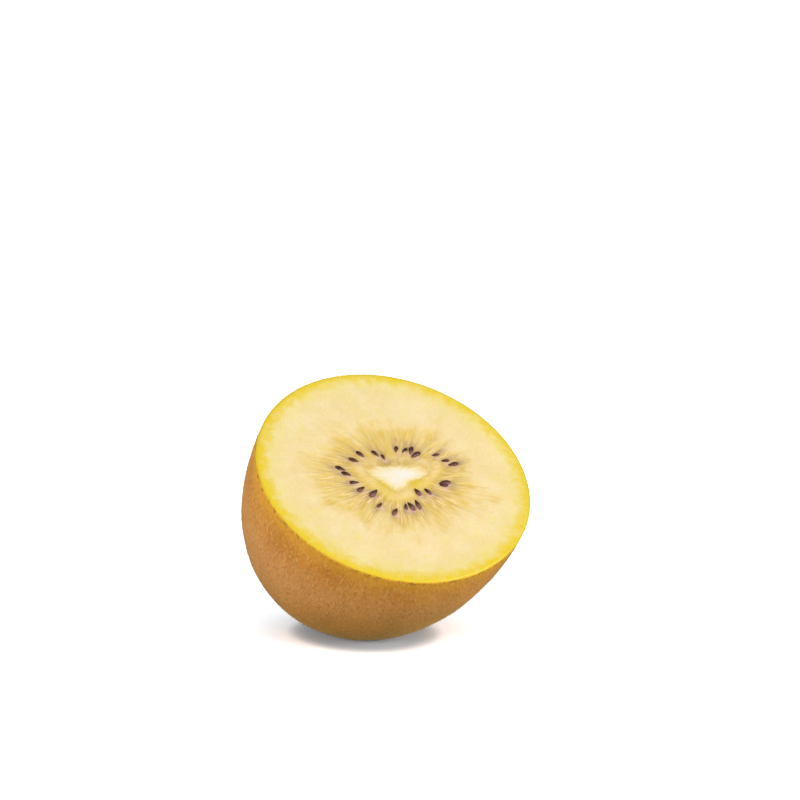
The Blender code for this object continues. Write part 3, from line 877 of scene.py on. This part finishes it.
# The fuzz: what is left of the down that covers the young fruit, very short soft golden hairs that
# grow from the skin and lean every way. They have worn off where the half lies on the table.
FUZZ_LENGTH = 0.35
FUZZ_RADIUS = 0.011
FUZZ_DENSITY = 3.2e6
FUZZ_WORN_HEIGHT = 0.5
FUZZ_LEAN = 1.0
FUZZ_LEAST_GROWTH = 0.4
FUZZ_MOST_GROWTH = 1.3
FUZZ_SEED = 3
HAIR_GOLD = (0.62, 0.38, 0.14)
HAIR_BROWN = (0.34, 0.17, 0.05)


def fuzz_tool():
    """Hairs scattered over a surface, each leaning its own way."""
    tree, given, end = new_node_tool("fuzz_sower", (
        ("Density", "Float"), ("Length", "Float"), ("Thickness", "Float"), ("Lean", "Float"),
        ("Least Growth", "Float"), ("Most Growth", "Float"), ("Worn Height", "Float"), ("Seed", "Int")))
    scatter = add_node(tree, "GeometryNodeDistributePointsOnFaces", {
        "Mesh": given["Geometry"], "Density": given["Density"], "Seed": given["Seed"],
    }, distribute_method="RANDOM")
    hair = add_node(tree, "GeometryNodeMeshCone", {
        "Vertices": 3, "Radius Top": 0.0, "Radius Bottom": given["Thickness"], "Depth": given["Length"],
    }, fill_type="NONE")
    back = add_node(tree, "ShaderNodeVectorMath", {0: given["Lean"], "Scale": -1.0}, operation="SCALE")
    lean = add_node(tree, "FunctionNodeRandomValue", {
        0: back.outputs["Vector"], 1: given["Lean"]}, data_type="FLOAT_VECTOR")
    tilt = add_node(tree, "FunctionNodeRotateRotation", {
        "Rotation": scatter.outputs["Rotation"], "Rotate By": lean.outputs[0]}, rotation_space="LOCAL")
    growth = add_node(tree, "FunctionNodeRandomValue", {
        2: given["Least Growth"], 3: given["Most Growth"]}, data_type="FLOAT")
    position = add_node(tree, "GeometryNodeInputPosition").outputs["Position"]
    height = add_node(tree, "ShaderNodeSeparateXYZ", {"Vector": position}).outputs["Z"]
    low = add_node(tree, "FunctionNodeCompare", {
        "A": height, "B": given["Worn Height"]}, operation="LESS_THAN").outputs["Result"]
    unworn = changed(
        tree, "DeleteGeometry", scatter.outputs["Points"], {"Selection": low}, domain="POINT")
    sower = add_node(tree, "GeometryNodeInstanceOnPoints", {
        "Points": unworn, "Instance": hair.outputs["Mesh"], "Rotation": tilt.outputs["Rotation"],
        "Scale": growth.outputs[1]})
    real = changed(tree, "RealizeInstances", sower.outputs["Instances"])
    feed(tree, end["Geometry"], changed(tree, "SetMaterial", real, {"Material": given["Finish"]}))
    return tree


fuzz_material, tree, shader, place = new_material("golden_fuzz", {})
hair_tone = grain(tree, place, 700.0, 2.0)
hair_colour = blend_colour(tree, ramp(tree, hair_tone, 0.35, 0.65), HAIR_BROWN, HAIR_GOLD)
feed(tree, shader.inputs["Base Color"], hair_colour)
feed(tree, shader.inputs["Roughness"], ramp(tree, hair_tone, 0.3, 0.7, 0.5, 0.7))
fuzz = put_in_scene("skin_fuzz", outer_skin)
fuzz.data = run_node_tool(fuzz, fuzz_tool(), {
    "Density": FUZZ_DENSITY, "Length": FUZZ_LENGTH * MM, "Thickness": FUZZ_RADIUS * MM,
    "Lean": FUZZ_LEAN, "Least Growth": FUZZ_LEAST_GROWTH, "Most Growth": FUZZ_MOST_GROWTH,
    "Worn Height": FUZZ_WORN_HEIGHT * MM, "Seed": FUZZ_SEED, "Finish": fuzz_material})
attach(fuzz, "root")


# The stage: a white table with a contact shadow painted into its colour round the half, soft daylight from
# all round, a soft lamp overhead and one on each side, and a camera that looks at the half from the
# photograph's angle.
CAMERA_TURN = math.radians(-25.4)
CAMERA_RISE = math.radians(13.0)
FACE_PIXEL = (393.9, 476.3)
FACE_RADIUS_PIXELS = 141.5
IMAGE_SIZE = 800
CAMERA_LENS = 200.0
SENSOR = 36.0
TABLE_REACH = 3.0
FLOOR_WHITE = (1.85, 2.0, 2.15)
PAINTED_CONTACT_SHADOW = (0.82, 0.94, 1.06)
PAINTED_SHADOW_REACH = 0.004
FLOOR_RETURN = 0.13
SKY_LIGHT = 0.5

floor_mesh = bpy.data.meshes.new("table")
corners = [(x * TABLE_REACH, y * TABLE_REACH, 0.0) for x, y in ((-1, -1), (1, -1), (1, 1), (-1, 1))]
floor_mesh.from_pydata(corners, [], [(0, 1, 2, 3)])
floor = put_in_scene("table", floor_mesh)
floor_material = bpy.data.materials.new("white_table")
floor_material.use_nodes = True
tree = floor_material.node_tree
tree.nodes.remove(tree.nodes["Principled BSDF"])
# Painted contact shadow: the table's colour darkens to grey wherever an ambient occlusion node finds the
# half close by.
contact_shadow_occlusion = add_node(tree, "ShaderNodeAmbientOcclusion", {"Distance": PAINTED_SHADOW_REACH})
open_share = ramp(tree, contact_shadow_occlusion.outputs["AO"], 0.3, 0.95)
white_side = add_node(tree, "ShaderNodeBsdfDiffuse", {
    "Color": blend_colour(tree, open_share, PAINTED_CONTACT_SHADOW, FLOOR_WHITE)})
dull_side = add_node(tree, "ShaderNodeBsdfDiffuse", {
    "Color": (FLOOR_RETURN, FLOOR_RETURN, FLOOR_RETURN, 1.0)})
seen = add_node(tree, "ShaderNodeMixShader", {
    0: add_node(tree, "ShaderNodeLightPath").outputs["Is Camera Ray"],
    1: dull_side.outputs["BSDF"], 2: white_side.outputs["BSDF"]})
feed(tree, tree.nodes["Material Output"].inputs["Surface"], seen.outputs["Shader"])
floor_mesh.materials.append(floor_material)

world = bpy.data.worlds.new("daylight")
world.use_nodes = True
tree = world.node_tree
sky = tree.nodes["Background"]
sky.inputs["Color"].default_value = (1.0, 1.0, 1.0, 1.0)
sky_seen = add_node(tree, "ShaderNodeLightPath").outputs["Is Camera Ray"]
feed(tree, sky.inputs["Strength"], ramp(tree, sky_seen, 0.0, 1.0, SKY_LIGHT, 1.0))
bpy.context.scene.world = world

back = Vector((
    math.sin(CAMERA_TURN) * math.cos(CAMERA_RISE), -math.cos(CAMERA_TURN) * math.cos(CAMERA_RISE),
    math.sin(CAMERA_RISE)))
right = Vector((math.cos(CAMERA_TURN), math.sin(CAMERA_TURN), 0.0))
up = back.cross(right)
face_centre = Vector(FACE_CENTRE) * MM
pixels_of_focus = CAMERA_LENS / SENSOR * IMAGE_SIZE
camera_distance = pixels_of_focus / (FACE_RADIUS_PIXELS / (FRUIT_RADIUS * MM))
off_right = (FACE_PIXEL[0] - IMAGE_SIZE / 2) / pixels_of_focus
off_down = (FACE_PIXEL[1] - IMAGE_SIZE / 2) / pixels_of_focus
aim = (-back - off_right * right + off_down * up).normalized()
camera_data = bpy.data.cameras.new("camera")
camera_data.lens = CAMERA_LENS
camera_data.sensor_width = SENSOR
camera_data.clip_end = 20.0
camera = put_in_scene("camera", camera_data)
camera_right = aim.cross(up).normalized()
camera_up = camera_right.cross(aim)
turned_axes = Matrix((camera_right, camera_up, -aim)).transposed().to_4x4()
camera.matrix_world = Matrix.Translation(face_centre + back * camera_distance) @ turned_axes
bpy.context.scene.camera = camera


def soft_lamp(name, place, size, power, colour):
    """A square lamp that faces the cut."""
    lamp_data = bpy.data.lights.new(name, "AREA")
    lamp_data.size = size
    lamp_data.energy = power
    lamp_data.color = colour
    lamp = put_in_scene(name, lamp_data)
    lamp.location = Vector(place)
    lamp.rotation_euler = (face_centre - lamp.location).to_track_quat("-Z", "Y").to_euler()


soft_lamp("key_lamp", (-0.2, -0.15, 0.95), 0.7, 0.5, (1.0, 0.98, 0.95))
soft_lamp("left_lamp", (-0.77, -0.38, 0.1), 0.6, 7.8, (1.0, 0.97, 0.94))
soft_lamp("right_lamp", (0.55, -0.6, 0.05), 0.6, 11.2, (1.0, 0.97, 0.94))
bpy.context.scene.view_settings.view_transform = "Standard"
